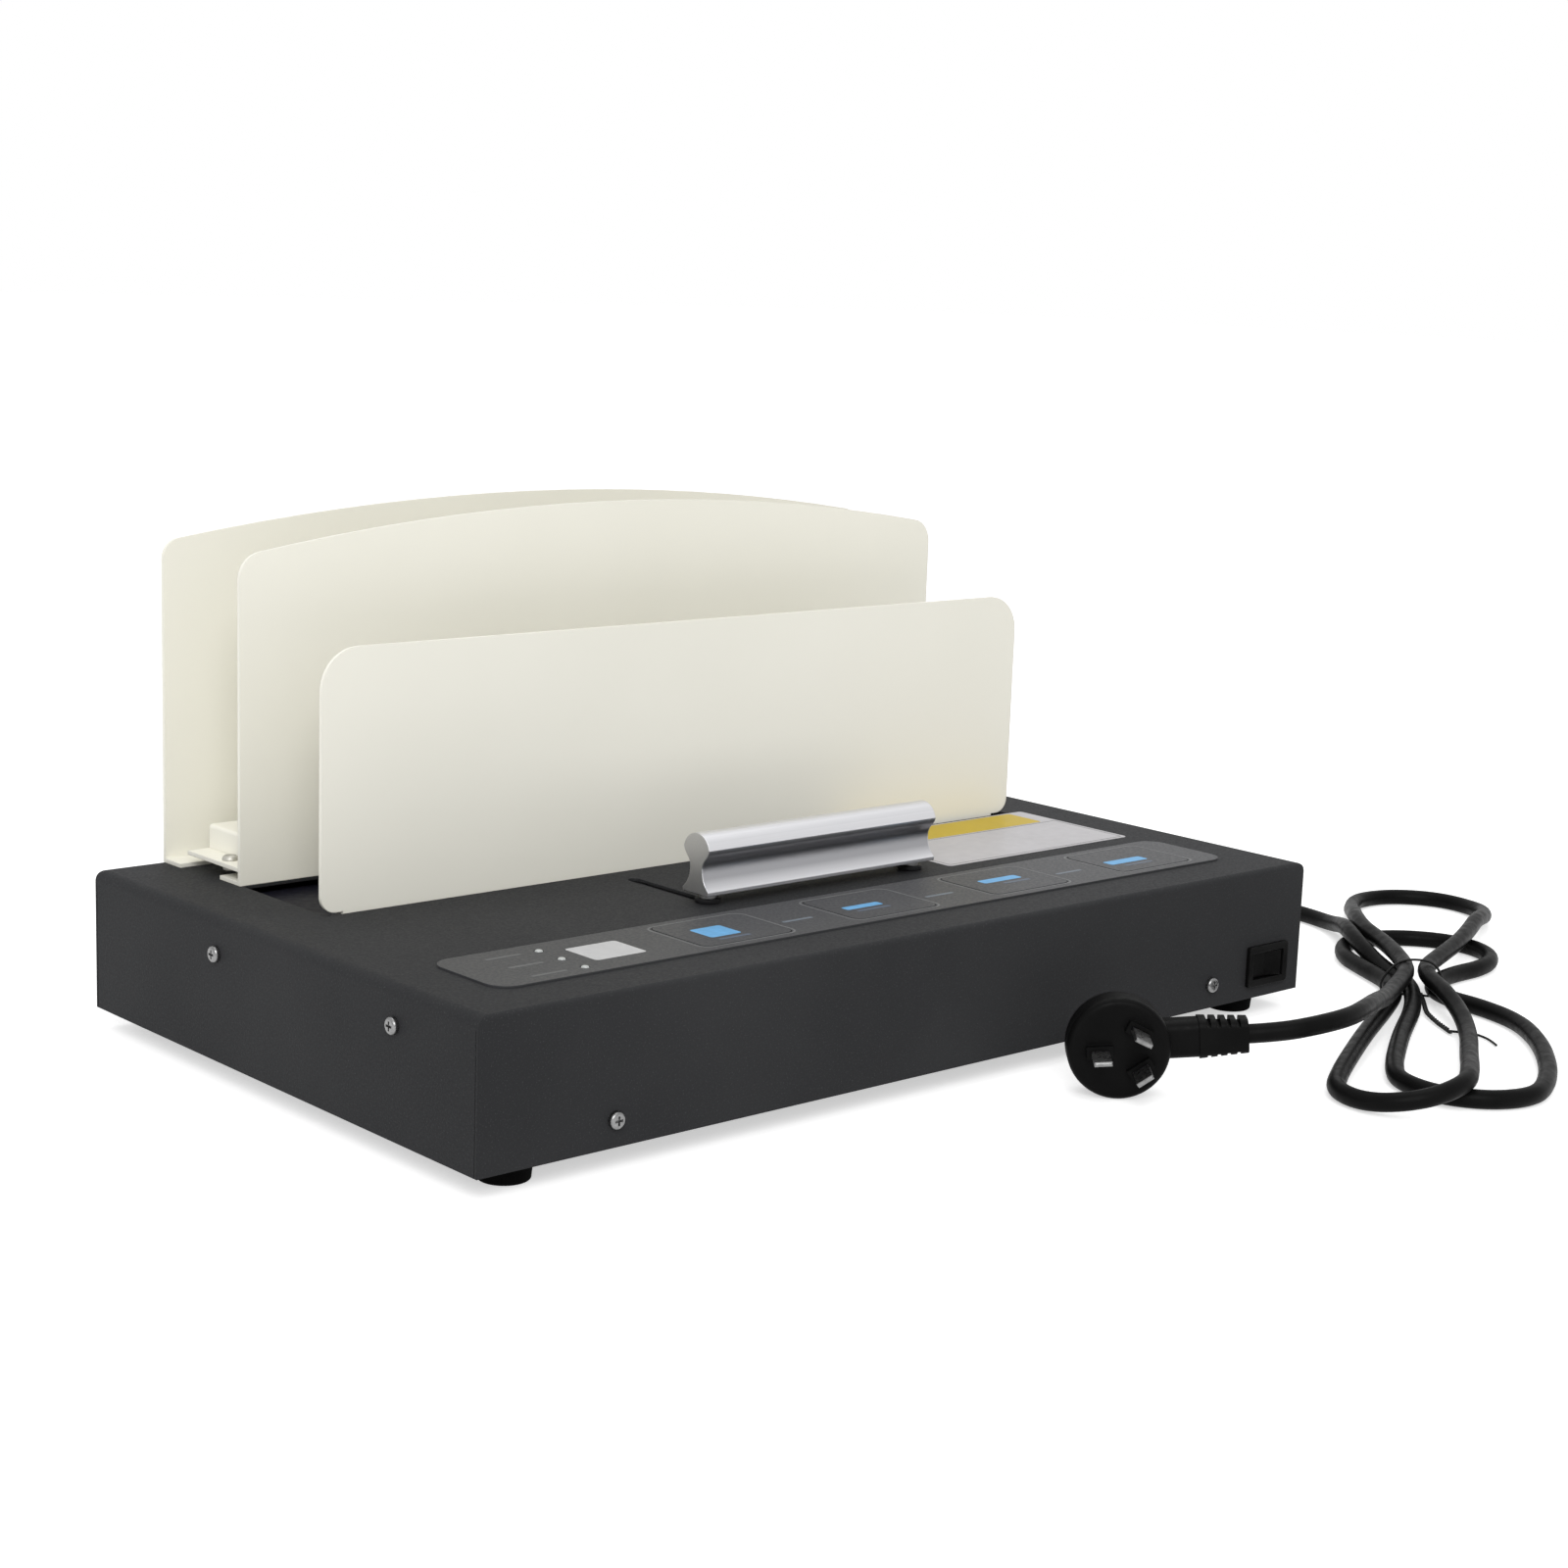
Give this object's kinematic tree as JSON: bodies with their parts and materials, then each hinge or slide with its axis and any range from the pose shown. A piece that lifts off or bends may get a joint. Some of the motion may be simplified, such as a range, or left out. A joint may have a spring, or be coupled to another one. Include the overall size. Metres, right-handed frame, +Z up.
{
  "type": "thermal binding machine",
  "caption": "Desktop thermal binder: low dark case, hot-plate slot with sliding clamp panel and grip, cooling rack between two tall panels, key strip, tied mains cord.",
  "frame": {"origin": "on the floor, under the middle of the case", "axes": "+X to the right along the front, +Y to the back, +Z up; the cord and plug don't count for the origin"},
  "size_m": [0.6103, 0.3805, 0.1925],
  "materials": {
    "housing_paint": "fine-textured charcoal powder coat",
    "panel_paint": "smooth warm white powder coat",
    "foot_rubber": "matt black rubber",
    "steel_screw": "zinc-plated steel",
    "grip_aluminium": "satin anodised extrusion",
    "post_steel": "plated steel",
    "black_plastic": "matt black moulding",
    "overlay_film": "matt printed membrane",
    "window_film": "pale display window",
    "lamp_lens": "water-clear lamp lens",
    "switch_black": "black switch plastic",
    "brass": "bare brass or copper",
    "heater_alloy": "dull aluminium",
    "plate_coating": "dark non-stick coating",
    "heater_mica": "mica-faced strip heater",
    "insulation": "mineral board",
    "circuit_board": "green laminate",
    "sticker": "blank two-tone film",
    "pin_nickel": "dark nickel plate",
    "cord_rubber": "black cord sheath",
    "plug_black": "black moulded plug",
    "tie_wire": "black coated tie wire"
  },
  "bodies": {
    "chassis": {"top_cover": "housing_paint", "base_pan": "housing_paint", "rubber_feet": "foot_rubber", "foot_screws": "steel_screw", "cover_screws": "steel_screw", "middle_panel": "panel_paint", "rear_panel": "panel_paint", "panel_rivets": "steel_screw", "shelf_spacers": "black_plastic", "spacer_screws": "steel_screw", "rack_shelf": "panel_paint", "rack_tray": "panel_paint", "rack_screws": "steel_screw", "guide_rods": "post_steel", "rod_brackets": "post_steel", "control_overlay": "overlay_film", "key_switches": "black_plastic", "display_board": "circuit_board", "board_posts": "black_plastic", "display_module": "black_plastic", "display_window": "window_film", "status_lamps": "lamp_lens", "rocker_bezel": "switch_black", "rocker_terminals": "brass", "heating_plate": "plate_coating", "heater_element": "heater_mica", "heater_clamp": "post_steel", "insulation_pad": "insulation", "heater_pillars": "insulation", "thermostat": "heater_alloy", "thermal_fuse": "post_steel", "main_board": "circuit_board", "main_standoffs": "black_plastic", "relay": "black_plastic", "capacitor": "heater_alloy", "buzzer": "black_plastic", "terminal_block": "insulation", "transformer_core": "post_steel", "transformer_coil": "brass", "blank_sticker": "sticker", "cord_gland": "cord_rubber", "cord_lead": "cord_rubber", "cord_hank": "cord_rubber", "cord_tie": "tie_wire", "cord_tail": "cord_rubber", "plug_body": "plug_black", "plug_pins": "pin_nickel"},
    "clamp": {"front_panel": "panel_paint", "clamp_handle": "grip_aluminium", "handle_posts": "post_steel", "glide_washers": "black_plastic", "handle_screws": "steel_screw", "bearing_blocks": "black_plastic", "slide_bushes": "brass", "block_studs": "steel_screw"},
    "rocker": {"power_rocker": "switch_black"},
    "key_1": {"key_1": "overlay_film"},
    "key_2": {"key_2": "overlay_film"},
    "key_3": {"key_3": "overlay_film"},
    "key_4": {"key_4": "overlay_film"}
  },
  "joints": [
    {"name": "clamp_slide", "type": "slide", "parent": "chassis", "child": "clamp", "axis": [0, 1, 0], "range_m": [0, 0.042]},
    {"name": "power_rocker", "type": "hinge", "parent": "chassis", "child": "rocker", "pos_m": [0.1793, -0.1154, 0.021], "axis": [0, 0, 1], "range_deg": [0, 14]},
    {"name": "key_1_press", "type": "slide", "parent": "chassis", "child": "key_1", "axis": [0, 0, -1], "range_m": [0, 0.0003], "stiffness_N_per_m": 600},
    {"name": "key_2_press", "type": "slide", "parent": "chassis", "child": "key_2", "axis": [0, 0, -1], "range_m": [0, 0.0003], "stiffness_N_per_m": 600},
    {"name": "key_3_press", "type": "slide", "parent": "chassis", "child": "key_3", "axis": [0, 0, -1], "range_m": [0, 0.0003], "stiffness_N_per_m": 600},
    {"name": "key_4_press", "type": "slide", "parent": "chassis", "child": "key_4", "axis": [0, 0, -1], "range_m": [0, 0.0003], "stiffness_N_per_m": 600}
  ]
}
